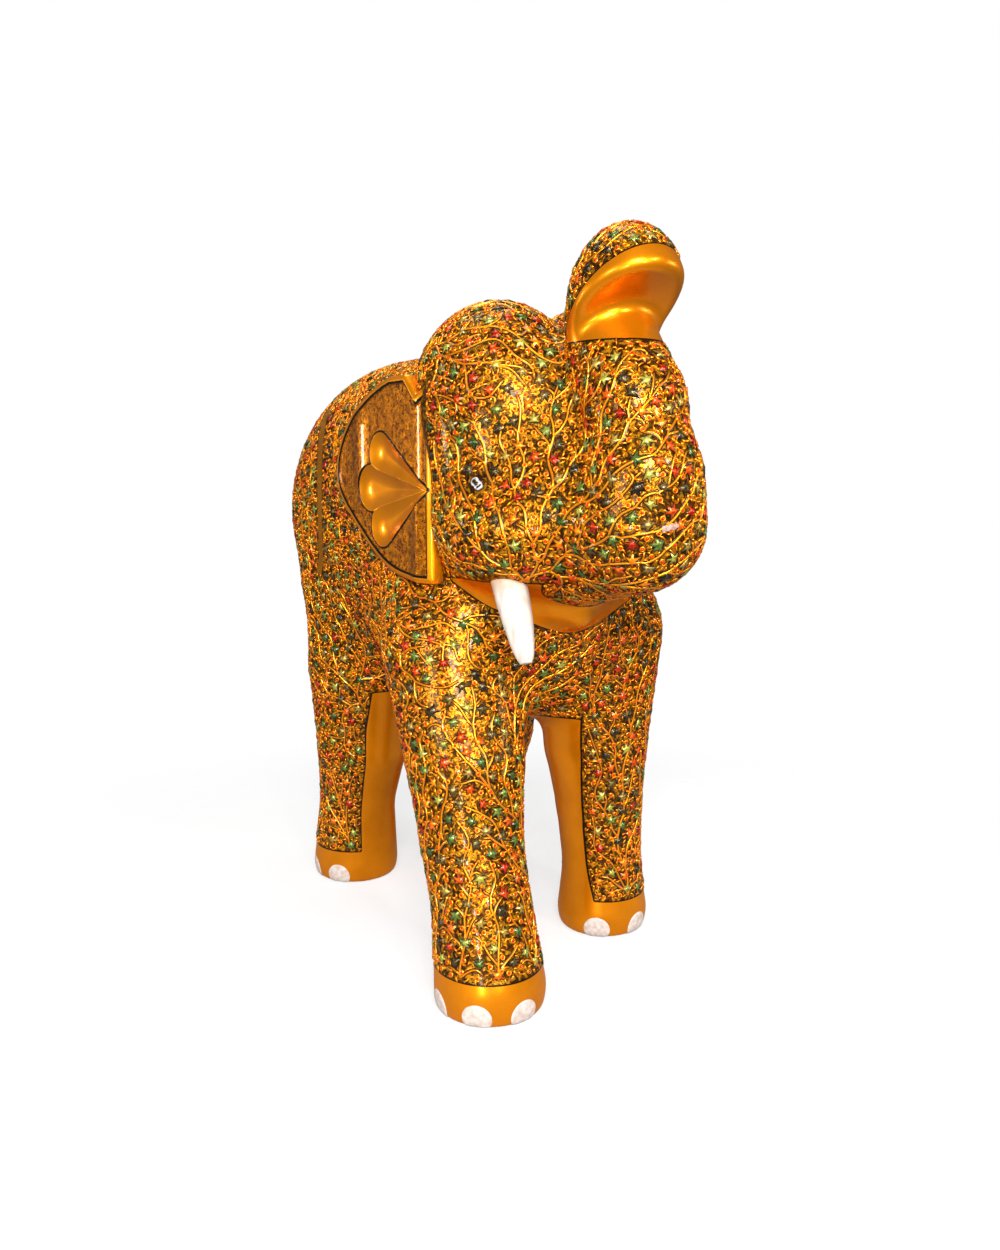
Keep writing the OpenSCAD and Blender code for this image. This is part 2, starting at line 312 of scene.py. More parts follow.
# Makes a piece of the figure; stands names the CAD nodes that it stands for
def pieceOf(name, mesh, material, stands=()):
    piece = bpy.data.objects.new(name, mesh)
    bpy.context.scene.collection.objects.link(piece)
    mesh.materials.append(material)
    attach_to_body(piece, "root")
    if stands:
        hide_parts(*stands)
    return piece


# Gives each point of a mesh a value that a material can read
def attach(mesh, name, values):
    layer = mesh.attributes.new(name, "FLOAT", "POINT")
    layer.data.foreach_set("value", np.asarray(values, np.float32))


def pointsOf(mesh):
    p = np.empty(len(mesh.vertices) * 3, np.float32)
    mesh.vertices.foreach_get("co", p)
    return p.reshape(-1, 3) / mm - np.float32((0, figure["shiftY"], 0))


# Cuts the skin with planes (point, normal), keeps the side the normals point away from, caps the cuts
def carvedBlock(name, points, quads, planes, where):
    middle = points[quads].mean(1)
    keep = where(middle)
    for at, normal in planes:
        keep &= ((middle - np.float32(at)) @ np.float32(normal)) < 3
    used, faces = np.unique(quads[keep], return_inverse=True)
    mesh = meshOf(name, points[used], [faces.reshape(-1, 4)])
    block = bmesh.new()
    block.from_mesh(mesh)
    for at, normal in planes:
        geometry = block.verts[:] + block.edges[:] + block.faces[:]
        cutOff = bmesh.ops.bisect_plane(
            block, geom=geometry, plane_co=Vector(toFrame(at)), plane_no=Vector(normal),
            dist=1e-7, clear_outer=True)
        rim = [e for e in cutOff["geom_cut"] if isinstance(e, bmesh.types.BMEdge) and e.is_boundary]
        caps = bmesh.ops.triangle_fill(block, edges=rim, use_beauty=False, use_dissolve=False)
        for face in caps["geom"]:
            if isinstance(face, bmesh.types.BMFace):
                face.smooth = False
                for edge in face.edges:
                    edge.smooth = False
    bmesh.ops.recalc_face_normals(block, faces=block.faces[:])
    block.to_mesh(mesh)
    block.free()
    inPlace = pointsOf(mesh)
    attach(mesh, "paint", paintOf(inPlace))
    attach(mesh, "haunch", haunchOf(inPlace))
    return mesh


# Starts a node group
def group(name, inputs, outputs):
    tree = bpy.data.node_groups.new(name, "ShaderNodeTree")
    for label, kind, value in inputs:
        socket = tree.interface.new_socket(label, in_out="INPUT", socket_type=kind)
        if value is not None:
            socket.default_value = value
    for label, kind in outputs:
        tree.interface.new_socket(label, in_out="OUTPUT", socket_type=kind)
    return tree, tree.nodes.new("NodeGroupInput"), tree.nodes.new("NodeGroupOutput")


# Adds a node, sets its fields, and fills its inputs with numbers or links
def node(tree, kind, fields=None, **inputs):
    made = tree.nodes.new(kind)
    for key, value in (fields or {}).items():
        setattr(made, key, value)
    for key, value in inputs.items():
        socket = made.inputs[int(key[1:])] if key[0] == "i" and key[1:].isdigit() else made.inputs[key]
        if isinstance(value, bpy.types.NodeSocket):
            tree.links.new(value, socket)
        else:
            socket.default_value = value
    return made


# Reads a value that each point of a mesh carries
def read(tree, name):
    return node(tree, "ShaderNodeAttribute", dict(attribute_name=name)).outputs["Fac"]


def maths(tree, operation, a, b=0.0, c=0.0, clamp=False):
    made = node(tree, "ShaderNodeMath", dict(operation=operation, use_clamp=clamp), i0=a, i1=b, i2=c)
    return made.outputs[0]


# How far a is past b, times a gain, held between 0 and 1
def past(tree, a, b, gain):
    return maths(tree, "MULTIPLY", maths(tree, "SUBTRACT", a, b), gain, clamp=True)


def mixed(tree, factor, a, b):
    return node(tree, "ShaderNodeMix", dict(data_type="RGBA"), i0=factor, i6=a, i7=b).outputs[2]


def ramp(tree, value, stops):
    made = node(tree, "ShaderNodeValToRGB", i0=value)
    marks = made.color_ramp.elements
    while len(marks) < len(stops):
        marks.new(1.0)
    for mark, (place, colour) in zip(marks, stops):
        mark.position = place
        mark.color = (*colour, 1)
    return made.outputs[0]


def noise(tree, where, scale, detail, distortion=0.0):
    made = node(tree, "ShaderNodeTexNoise", Vector=where, Scale=scale, Detail=detail, Distortion=distortion)
    return made.outputs[0]


lustre = dict(deep=(0.50, 0.135, 0.001, 1), bright=(0.86, 0.27, 0.002, 1), cloud=55, grain=2600,
              raisedDeep=(0.60, 0.150, 0.001, 1), raisedBright=(1.0, 0.37, 0.006, 1),
              earDeep=(0.62, 0.17, 0.001, 1), earBright=(1.0, 0.34, 0.003, 1), tint=(1, 0.70, 0.25, 1))
# The pen's haunch colour is painted shade: a darker brown for the haunch groove, which is not carved
pen = dict(ink=(0.012, 0.006, 0.004, 1), earInk=(0.012, 0.006, 0.003, 1), line=(0.008, 0.005, 0.004, 1),
           earLine=(0.006, 0.004, 0.003, 1), haunch=(0.38, 0.14, 0.008, 1), earDot=(0.16, 0.006, 0.004, 1),
           scale=520.0, width=0.17, earScale=460.0, earWidth=0.15, dotScale=330.0)


# Gold paint: slow clouds between a deep and a bright gold, with a fine grain
def buildLustre():
    tree, given, out = group(
        "goldLustre",
        [("Where", "NodeSocketVector", None), ("Deep", "NodeSocketColor", lustre["deep"]),
         ("Bright", "NodeSocketColor", lustre["bright"])],
        [("Color", "NodeSocketColor"), ("Roughness", "NodeSocketFloat"), ("Height", "NodeSocketFloat")])
    cloud = noise(tree, given.outputs["Where"], lustre["cloud"], 4.0)
    grain = noise(tree, given.outputs["Where"], lustre["grain"], 1.0)
    tone = maths(tree, "MULTIPLY_ADD", grain, 0.5, maths(tree, "MULTIPLY", cloud, 0.9))
    tone = maths(tree, "SUBTRACT", tone, 0.2, clamp=True)
    colour = mixed(tree, tone, given.outputs["Deep"], given.outputs["Bright"])
    tree.links.new(colour, out.inputs["Color"])
    tree.links.new(maths(tree, "MULTIPLY_ADD", cloud, 0.2, 0.22), out.inputs["Roughness"])
    tree.links.new(maths(tree, "MULTIPLY_ADD", grain, 0.35, cloud), out.inputs["Height"])
    return tree


# Pen work: the level lines of a noise, so short curls and rings, thinner where the noise is steep
def buildScroll():
    tree, given, out = group(
        "scrollwork",
        [("Where", "NodeSocketVector", None), ("Scale", "NodeSocketFloat", pen["scale"]),
         ("Width", "NodeSocketFloat", pen["width"])],
        [("Ink", "NodeSocketFloat"), ("Fill", "NodeSocketFloat")])
    field = noise(tree, given.outputs["Where"], given.outputs["Scale"], 1.0, 0.6)
    turns = maths(tree, "MULTIPLY", field, 7.0)
    line = maths(tree, "ABSOLUTE", maths(tree, "SUBTRACT", maths(tree, "FRACT", turns), 0.5))
    tree.links.new(past(tree, given.outputs["Width"], line, 14.0), out.inputs["Ink"])
    tree.links.new(field, out.inputs["Fill"])
    return tree


lustreGroup = buildLustre()
scrollGroup = buildScroll()


def startMaterial(name):
    material = bpy.data.materials.new(name)
    material.use_nodes = True
    tree = material.node_tree
    shader = tree.nodes["Principled BSDF"]
    where = node(tree, "ShaderNodeTexCoord").outputs["Object"]
    return material, tree, shader, where


def place(tree, built, **inputs):
    made = tree.nodes.new("ShaderNodeGroup")
    made.node_tree = built
    for key, value in inputs.items():
        if isinstance(value, bpy.types.NodeSocket):
            tree.links.new(value, made.inputs[key])
        else:
            made.inputs[key].default_value = value
    return made


def bumped(tree, shader, height, strength, distance):
    bump = node(tree, "ShaderNodeBump", Height=height, Strength=strength, Distance=distance)
    tree.links.new(bump.outputs[0], shader.inputs["Normal"])


def feed(tree, shader, colour, rough):
    tree.links.new(colour, shader.inputs["Base Color"])
    tree.links.new(rough, shader.inputs["Roughness"])


# Metal paint under a clear coat, its mirror colour warmed by the gold
def lacquer(shader, metallic, coat=0.12, coatRough=0.10):
    shader.inputs["Specular Tint"].default_value = lustre["tint"]
    shader.inputs["Metallic"].default_value = metallic
    shader.inputs["Coat Weight"].default_value = coat
    shader.inputs["Coat Roughness"].default_value = coatRough


def plainGold():
    material, tree, shader, where = startMaterial("plainGoldPaint")
    gold = place(tree, lustreGroup, Where=where)
    feed(tree, shader, gold.outputs["Color"], gold.outputs["Roughness"])
    bumped(tree, shader, gold.outputs["Height"], 0.12, 0.0004)
    lacquer(shader, 0.8)
    return material


# Skin of the carved blocks: plain gold, an ink line at the edge, a busy ground under the leaves, and a
# darker brown band of painted shade along the haunch
def leafGround():
    material, tree, shader, where = startMaterial("leafGround")
    edge, aside = read(tree, "paint"), read(tree, "haunch")
    gold = place(tree, lustreGroup, Where=where)
    scroll = place(tree, scrollGroup, Where=where)
    ground = ramp(tree, scroll.outputs["Fill"], [(0.36, (0.03, 0.009, 0.001)), (0.50, (0.17, 0.055, 0.002)),
                                                 (0.64, (0.62, 0.26, 0.006))])
    ground = mixed(tree, scroll.outputs["Ink"], ground, pen["ink"])
    painted = maths(tree, "MULTIPLY", edge, 8.0, clamp=True)
    colour = mixed(tree, painted, gold.outputs["Color"], ground)
    # Painted shade: a darker brown band along the haunch stands for the shadow in a groove that is not
    # carved
    colour = mixed(tree, past(tree, haunch["halfWidth"], aside, 4.0), colour, pen["haunch"])
    line = past(tree, 0.36, maths(tree, "ABSOLUTE", edge), 9.0)
    colour = mixed(tree, line, colour, pen["line"])
    feed(tree, shader, colour, gold.outputs["Roughness"])
    relief = maths(tree, "MULTIPLY", scroll.outputs["Ink"], painted)
    height = maths(tree, "SUBTRACT", maths(tree, "MULTIPLY", gold.outputs["Height"], 0.25), relief)
    bumped(tree, shader, height, 0.5, 0.0003)
    lacquer(shader, 0.7)
    return material


def raisedGold():
    material, tree, shader, where = startMaterial("raisedGold")
    gold = place(tree, lustreGroup, Where=where, Deep=lustre["raisedDeep"], Bright=lustre["raisedBright"])
    feed(tree, shader, gold.outputs["Color"], gold.outputs["Roughness"])
    lacquer(shader, 0.75, 0.35, 0.05)
    return material


# Leaves and berries: each has its own tone, from the darkest to the lightest of its colours
def enamel(name, stops, metallic=0.45):
    material, tree, shader, where = startMaterial(name)
    shade = noise(tree, where, 900.0, 2.0)
    tone = read(tree, "tone")
    tone = maths(tree, "MULTIPLY_ADD", maths(tree, "SUBTRACT", shade, 0.5), 1.4, tone, clamp=True)
    feed(tree, shader, ramp(tree, tone, stops), maths(tree, "MULTIPLY_ADD", shade, 0.2, 0.2))
    lacquer(shader, metallic, 0.3, 0.06)
    return material


looks = dict(
    ground=leafGround(),
    plain=plainGold(),
    raised=raisedGold(),
    ink=enamel("penInk", [(0.0, (0.006, 0.004, 0.003)), (1.0, (0.035, 0.018, 0.008))]),
    red=enamel("redLeaf", [(0.0, (0.28, 0.004, 0.001)), (0.5, (0.60, 0.050, 0.001)),
                           (1.0, (0.86, 0.24, 0.003))]),
    green=enamel("greenLeaf", [(0.0, (0.022, 0.055, 0.010)), (0.5, (0.10, 0.165, 0.028)),
                               (1.0, (0.42, 0.36, 0.05))]),
    dark=enamel("darkLeaf", [(0.0, (0.012, 0.010, 0.007)), (0.5, (0.10, 0.070, 0.020)),
                             (1.0, (0.44, 0.27, 0.04))], 0.5),
    berry=enamel("redBerry", [(0.0, (0.22, 0.003, 0.001)), (1.0, (0.70, 0.012, 0.001))], 0.2),
)


print("carving the blocks")
skinPoints, skinQuads = netOf(carving, figure["low"], figure["high"], figure["step"])
skinPoints = settle(skinPoints, 3)


# A joint plane as seen from both of its blocks
def bothWays(point, normal):
    return (point, normal), (point, tuple(-v for v in normal))


neck, neckBack = bothWays(figure["neckPoint"], figure["neckNormal"])
root, rootBack = bothWays(figure["trunkPoint"], figure["trunkNormal"])
top, topBack = bothWays((0, 0, figure["legTop"]), (0, 0, 1))


# Picks the faces near one leg
def legSide(side, front):
    return lambda m: (m[:, 0] * side > 0) & ((m[:, 1] < 12) == front) & (m[:, 2] < figure["legTop"] + 3)


# Each block: its joint planes, and which faces of the skin may belong to it
blocks = dict(
    torso=([neck, topBack], lambda m: m[:, 2] > 60),
    head=([neckBack, root], lambda m: m[:, 2] > 120),
    trunk=([rootBack], lambda m: m[:, 2] > 120),
    leg_front_right=([top], legSide(-1, True)),
    leg_front_left=([top], legSide(1, True)),
    leg_hind_right=([top], legSide(-1, False)),
    leg_hind_left=([top], legSide(1, False)),
)
for name, (planes, where) in blocks.items():
    mesh = carvedBlock(name + "Block", skinPoints, skinQuads, planes, where)
    pieceOf(name + "Block", mesh, looks["ground"], [name])
    print(name, len(mesh.polygons))


# Where the ears lie on the body; s runs back from the front edge and t up from the lowest point
ear = dict(x=53.5, y=-64, z=162, slope=math.radians(9.5), length=72, height=82, thick=10,
           border=2.6, notch=(8, 74), cornerLean=math.radians(38))


# Signed distance to the outline of an ear in its own plane, minus inside: an ellipse cut by a straight
# front edge, a level top, a slanted lower rear corner and a small notch
def earOutline(s, t):
    high = ear["height"]
    rx, ry = ear["length"] * (high / 2 + 1) / (high / 2), high / 2 + 1
    u = t - high / 2 - 2
    whole, steep = np.hypot(s / rx, u / ry), np.hypot(s / rx ** 2, u / ry ** 2)
    oval = whole * (whole - 1) / np.maximum(steep, 1e-6)
    lean = ear["cornerLean"]
    ds, dt = s - ear["length"] * 0.62, t + high * 0.23
    across = ds * math.cos(lean) + dt * math.sin(lean)
    over = dt * math.cos(lean) - ds * math.sin(lean)
    corner = np.minimum(across, high * 0.3 - over)
    ns, nt = ear["notch"]
    wedge = (t - nt - np.where(s < ns, (ns - s) * 0.53, (s - ns) * 1.08)) * 0.72
    edge = np.maximum(meet(oval, corner, 6), np.maximum(-s, t - high))
    return np.maximum(np.maximum(edge, -t), wedge)


def earPlane(p):
    return (p[:, 1] - ear["y"]) / math.cos(ear["slope"]), p[:, 2] - ear["z"]


# Where leaves may grow: in the painted regions, and not under the ears, tusk, eyes, tail or nails
def openGround(p):
    edge = earOutline(*earPlane(p))
    edge = np.where(np.abs(p[:, 0]) > 30, edge, 9)
    free = np.minimum(paintOf(p), edge)
    free = np.minimum(free, haunchOf(p) - haunch["halfWidth"])
    tusk = np.linalg.norm(p - (-33, -93, 167), axis=1) - 7.5
    eyes = np.linalg.norm(np.abs(p - (0, -92.2, 201.8)) - (44.9, 0, 0), axis=1) - 4.2
    tail = np.maximum(np.abs(p[:, 0]) - 7, 105 - p[:, 1])
    return np.minimum(np.minimum(free, tusk), np.minimum(eyes, tail))


# Takes candidates in turn and keeps those with no kept one nearer than gap, nor any of taken nearer
# than its own gap
def spaced(candidates, gap, taken=()):
    tree = kdtree.KDTree(len(candidates))
    for i, c in enumerate(candidates.tolist()):
        tree.insert(c, i)
    tree.balance()
    blocked = np.zeros(len(candidates), bool)
    for points, reach in taken:
        for c in points.tolist():
            for _, i, _ in tree.find_range(c, reach):
                blocked[i] = True
    kept = []
    for i, c in enumerate(candidates.tolist()):
        if blocked[i]:
            continue
        kept.append(i)
        for _, j, _ in tree.find_range(c, gap):
            blocked[j] = True
    return candidates[kept]


# Random points on the skin, evenly by area, kept where leaves may grow
def scattered(count, margin):
    corner = skinPoints[skinQuads]
    area = np.linalg.norm(np.cross(corner[:, 2] - corner[:, 0], corner[:, 3] - corner[:, 1]), axis=1)
    pick = chance.choice(len(area), count, p=area / area.sum())
    u, v = chance.random((2, count, 1))
    a, b, c, d = (corner[pick, k] for k in range(4))
    p = (a * (1 - u) + b * u) * (1 - v) + (d * (1 - u) + c * u) * v
    p = p.astype(np.float32)
    return p[openGround(p) > margin]


# tries are random points that the goals are picked from, room is the most stem points there can be
vine = dict(step=1.6, reach=15.0, reached=2.5, carry=0.75, lift=0.35, wander=0.30, sway=0.5, rounds=330,
            leafGap=5.9, berryGap=3.7, halfWidth=0.46, high=0.62, inkEdge=0.38, inkHigh=0.5,
            tries=60000, rootTries=4000, room=60000)


# Slow push to and fro that bends the stems, with a wave of about 19 mm
def swayOf(p):
    return vine["sway"] * np.sin(p[:, [1, 2, 0]] / 3.0 + p[:, [2, 0, 1]] * 0.21 + np.float32((0, 1, 2)))


# Stems grow towards the nearest goals, step by step over the skin: each tip turns to the mean of the
# goals that are nearest to it, keeps some of its heading, sways and climbs a little
def growVines(goals, roots):
    count = len(roots)
    spot, course = np.zeros((2, vine["room"], 3), np.float32)
    parent = np.full(vine["room"], -1)
    children = np.zeros(vine["room"], np.int8)
    spot[:count] = settle(roots, 2)
    course[:count, 2] = 1
    gap = np.full(len(goals), 1e9)
    owner = np.zeros(len(goals), int)
    fresh = np.arange(count)
    for _ in range(vine["rounds"]):
        live = np.flatnonzero(gap > vine["reached"])
        if len(fresh):
            far = np.linalg.norm(goals[live][:, None] - spot[fresh][None], axis=2)
            best = far.argmin(1)
            shortest = far[np.arange(len(live)), best]
            closer = shortest < gap[live]
            gap[live[closer]] = shortest[closer]
            owner[live[closer]] = fresh[best[closer]]
        pulling = (gap > vine["reached"]) & (gap < vine["reach"]) & (children[owner] < 3)
        if not pulling.any():
            break
        pulls = unit(goals[pulling] - spot[owner[pulling]])
        tips, back = np.unique(owner[pulling], return_inverse=True)
        total = np.zeros((len(tips), 3))
        np.add.at(total, back, pulls)
        stray = chance.normal(0, vine["wander"], (len(tips), 3)) + swayOf(spot[tips])
        way = unit(total) + vine["carry"] * course[tips] + stray + np.float32((0, 0, vine["lift"]))
        normal = unit(slope(spot[tips]))
        way = unit(way - normal * (way * normal).sum(1, keepdims=True))
        ahead = settle((spot[tips] + vine["step"] * way).astype(np.float32), 1)
        children[tips] += 1
        good = openGround(ahead) > 0.7
        fresh = np.arange(count, count + good.sum())
        spot[fresh] = ahead[good]
        course[fresh] = unit(ahead[good] - spot[tips[good]])
        parent[fresh] = tips[good]
        count += len(fresh)
    return spot[:count], parent[:count], owner, gap


print("growing the vines")
leafSpots = spaced(scattered(vine["tries"], 2.9), vine["leafGap"])
berrySpots = spaced(scattered(vine["tries"], 1.6), vine["berryGap"], [(leafSpots, 3.5)])
goals = np.concatenate([leafSpots, berrySpots])
roots = goals[goals[:, 2] < 23]
roots = np.float32([(x, y, 18.6) for x, y, z in roots.tolist()])
belly = scattered(vine["rootTries"], 0.8)
belly = belly[openGround(belly) < 1.6]
roots = np.concatenate([spaced(roots, 13), spaced(belly, 60)])
stems, stemParent, goalOwner, goalGap = growVines(goals, roots.astype(np.float32))
print("leaves", len(leafSpots), "berries", len(berrySpots), "stem points", len(stems),
      "reached", int((goalGap < vine["reached"]).sum()))


# Removes the stems that lead to no goal
def pruned(stems, parent, owner, gap):
    reached = gap < vine["reach"] * 0.6
    used = np.zeros(len(stems), bool)
    at = np.unique(owner[reached])
    while len(at):
        used[at] = True
        at = np.unique(parent[at])
        at = at[at >= 0]
        at = at[~used[at]]
    number = np.cumsum(used) - 1
    kept = np.flatnonzero(used)
    up = np.where(parent[kept] >= 0, number[parent[kept]], -1)
    return stems[kept], up, number[owner]


stems, stemParent, goalOwner = pruned(stems, stemParent, goalOwner, goalGap)


# Evens out the course of the stems: each point moves to between its parent and its children
def evened(points, parent, rounds):
    inner = parent >= 0
    for _ in range(rounds):
        total = np.zeros_like(points)
        number = np.zeros(len(points))
        np.add.at(total, parent[inner], points[inner])
        np.add.at(number, parent[inner], 1)
        both = inner & (number > 0)
        middle = (points[parent[both]] + total[both] / number[both, None]) / 2
        points = points.copy()
        points[both] = points[both] * 0.45 + middle * 0.55
    return points


stems = settle(evened(stems, stemParent, 3), 1)
stemNormal = unit(slope(stems)).astype(np.float32)


# How much each stem point carries: itself and all that grows from it
def loads(parent):
    load = np.ones(len(parent))
    for i in range(len(parent) - 1, -1, -1):
        if parent[i] >= 0:
            load[parent[i]] += load[i]
    return load


stemLoad = loads(stemParent)


# Tubes along the stems: a ring of points at every stem point, joined to the ring of its parent; a side
# shoot starts with a ring of its own inside the parent, and every loose end is closed
def tubesOf(name, profile, width, lift, material):
    count = len(stems)
    inner = stemParent >= 0
    heavier = np.full(count, -1)
    order = np.argsort(stemLoad)
    order = order[inner[order]]
    heavier[stemParent[order]] = order
    main = inner & (heavier[stemParent] == np.arange(count))
    along = np.zeros((count, 3), np.float32)
    along[inner] = unit(stems[inner] - stems[stemParent[inner]])
    hasNext = heavier >= 0
    along[hasNext] += unit(stems[heavier[hasNext]] - stems[hasNext])
    along = unit(along)
    side = unit(np.cross(stemNormal, along))
    half = width(stemLoad)
    sideStart = np.flatnonzero(inner & ~main)
    ownSide = unit(np.cross(stemNormal[sideStart], stems[sideStart] - stems[stemParent[sideStart]]))
    startAt = stems[stemParent[sideStart]]
    centres = np.concatenate([stems, startAt])
    sides = np.concatenate([side, ownSide])
    normals = np.concatenate([stemNormal, stemNormal[stemParent[sideStart]]])
    halves = np.concatenate([half, half[sideStart]])
    across, up = np.float32(profile).T
    ring = (centres[:, None] + sides[:, None] * (across[None, :, None] * halves[:, None, None])
            + normals[:, None] * (up[None, :, None] * lift))
    size = len(profile)
    begin = np.where(main, stemParent, -1)
    begin[sideStart] = count + np.arange(len(sideStart))
    joined = np.flatnonzero(begin >= 0)
    k = np.arange(size)
    a = begin[joined][:, None] * size + k
    b = begin[joined][:, None] * size + (k + 1) % size
    c = joined[:, None] * size + (k + 1) % size
    d = joined[:, None] * size + k
    quads = np.stack([a, b, c, d], -1).reshape(-1, 4)
    opens = np.concatenate([np.flatnonzero(~inner & hasNext), count + np.arange(len(sideStart))])
    ends = np.flatnonzero(inner & ~hasNext)
    capStart = opens[:, None] * size + k[::-1]
    capEnd = ends[:, None] * size + k
    startTone = chance.random(len(sideStart))
    mesh = meshOf(name, ring.reshape(-1, 3), [quads, capStart, capEnd])
    attach(mesh, "tone", np.repeat(np.concatenate([stemLoad * 0 + 0.5, startTone]), size))
    return pieceOf(name, mesh, material)


# Sections of a stem and of the ink under it: across as shares of the half width, up as shares of the lift
ridge = [(-1, -0.35), (-0.75, 0.45), (0, 0.9), (0.75, 0.45), (1, -0.35)]
ribbon = [(-1, -0.4), (-0.8, 0.22), (0.8, 0.22), (1, -0.4)]


# Stems that carry more are wider
def stemHalf(load):
    return vine["halfWidth"] * (0.8 + 0.16 * np.log10(load))


print("laying the stems")
tubesOf("vineStems", ridge, stemHalf, vine["high"], looks["raised"])
tubesOf("vineInk", ribbon, lambda load: stemHalf(load) + vine["inkEdge"], vine["inkHigh"], looks["ink"])


# Faces between rings of points: each joins a point and the next one on a ring to those on the next ring
def ringQuads(rings, per):
    i, k = np.arange(rings - 1)[:, None] * per, np.arange(per)[None]
    after = (k + 1) % per
    return np.stack([k + i, k + i + per, after + i + per, after + i], -1).reshape(-1, 4)


# Three-sided faces from a middle point to a ring
def fanOf(middle, per):
    k = np.arange(per)
    return np.stack([np.full(per, middle), k, (k + 1) % per], 1)


# Small forms repeated over the skin: rows of points round a centre, from the inmost to the rim. A row
# holds (angle in degrees, radius, height) for each point; the last row lies inside the skin.
def stamped(name, spots, headings, rows, centreHeight, material, sizes=None, tones=None,
            stands=(), lowest=-9):
    sizes = np.ones(len(spots)) if sizes is None else sizes
    tones = np.ones(len(spots)) if tones is None else tones
    normals = unit(slope(spots))
    ahead = unit(headings - normals * (headings * normals).sum(1, keepdims=True))
    aside = np.cross(normals, ahead)
    rings, per = len(rows), len(rows[0])
    angle, radius, height = (np.float32([[r[k] for r in row] for row in rows]).reshape(-1) for k in range(3))
    angle = np.radians(angle)
    offset = (ahead[:, None] * (radius * np.cos(angle))[None, :, None]
              + aside[:, None] * (radius * np.sin(angle))[None, :, None])
    flat = spots[:, None] + offset * sizes[:, None, None]
    wide = np.repeat(normals[:, None], rings * per, 1).reshape(-1, 3)
    flat = flat.reshape(-1, 3).astype(np.float32)
    flat[:, 2] = np.maximum(flat[:, 2], lowest)
    for _ in range(2):
        flat = (flat - wide * carving(flat)[:, None]).astype(np.float32)
    flat = flat + wide * np.tile(height, len(spots))[:, None]
    flat[:, 2] = np.maximum(flat[:, 2], lowest)
    centre = spots + normals * centreHeight
    points = np.concatenate([flat.reshape(len(spots), -1, 3), centre[:, None]], 1)
    size = rings * per + 1
    start = (np.arange(len(spots)) * size)[:, None, None]
    base = (np.arange(per) + (rings - 1) * per)[::-1]
    mesh = meshOf(name, points.reshape(-1, 3), [
        (start + fanOf(size - 1, per)).reshape(-1, 3),
        (start + ringQuads(rings, per)).reshape(-1, 4),
        (start + base).reshape(-1, per)])
    attach(mesh, "tone", np.repeat(tones, size))
    return pieceOf(name, mesh, material, stands)


# Rows of a round form, from its (radius, height) stops
def roundRows(stops, sides):
    return [[(a, r, h) for a in np.arange(sides) * 360 / sides] for r, h in stops]


# lobes are the points of a leaf (degrees, radius), inkEdge is how far its ink reaches past it
leaf = dict(lobes=[(0, 3.3), (26, 1.15), (50, 3.0), (84, 1.0), (112, 2.3), (158, 0.75),
                   (202, 0.75), (248, 2.3), (276, 1.0), (310, 3.0), (334, 1.15)],
            height=0.85, rim=0.42, sunk=-0.3, inkEdge=0.40, inkHeight=0.30)
berry = dict(sides=8, dot=[(0.40, 0.62), (0.66, 0.25)], dotHeight=0.72,
             ring=[(0.62, 0.2), (0.88, 0.52), (1.2, -0.25)], ringHeight=0.1)


def leafRows(grow, high):
    return [[(a, r + grow, h) for a, r in leaf["lobes"]] for h in (high, leaf["sunk"])]


print("setting leaves and berries")
toGoal = goals - stems[goalOwner]
toGoal = np.where(np.linalg.norm(toGoal, axis=1, keepdims=True) > 0.4, toGoal, (0, 0, 1)).astype(np.float32)
kind = chance.random(len(leafSpots))
tones = chance.random(len(leafSpots))
sizes = chance.uniform(0.95, 1.22, len(leafSpots))
leafHeading = toGoal[:len(leafSpots)]
for name, low, high in [("red", 0, 0.37), ("green", 0.37, 0.67), ("dark", 0.67, 1.01)]:
    chosen = (kind >= low) & (kind < high)
    stamped(name + "Leaves", leafSpots[chosen], leafHeading[chosen], leafRows(0, leaf["rim"]),
            leaf["height"], looks[name], sizes[chosen], tones[chosen])
stamped("leafInk", leafSpots, leafHeading, leafRows(leaf["inkEdge"], leaf["inkHeight"]),
        leaf["inkHeight"], looks["ink"], sizes, tones)
berryHeading = toGoal[len(leafSpots):]
berryTones = chance.random(len(berrySpots))
stamped("berryDots", berrySpots, berryHeading, roundRows(berry["dot"], berry["sides"]),
        berry["dotHeight"], looks["berry"], tones=berryTones)
stamped("berryRings", berrySpots, berryHeading, roundRows(berry["ring"], berry["sides"]),
        berry["ringHeight"], looks["raised"], tones=berryTones)


# Dabs of gold that fill the ground: gap is the least way from one to the next, clear the way they keep
# from leaves, berries and stems
dab = dict(gap=1.65, length=1.2, halfWidth=0.42, height=0.6, sunk=0.25, bend=0.8, tries=110000,
           clear=(2.6, 1.35, 0.95))


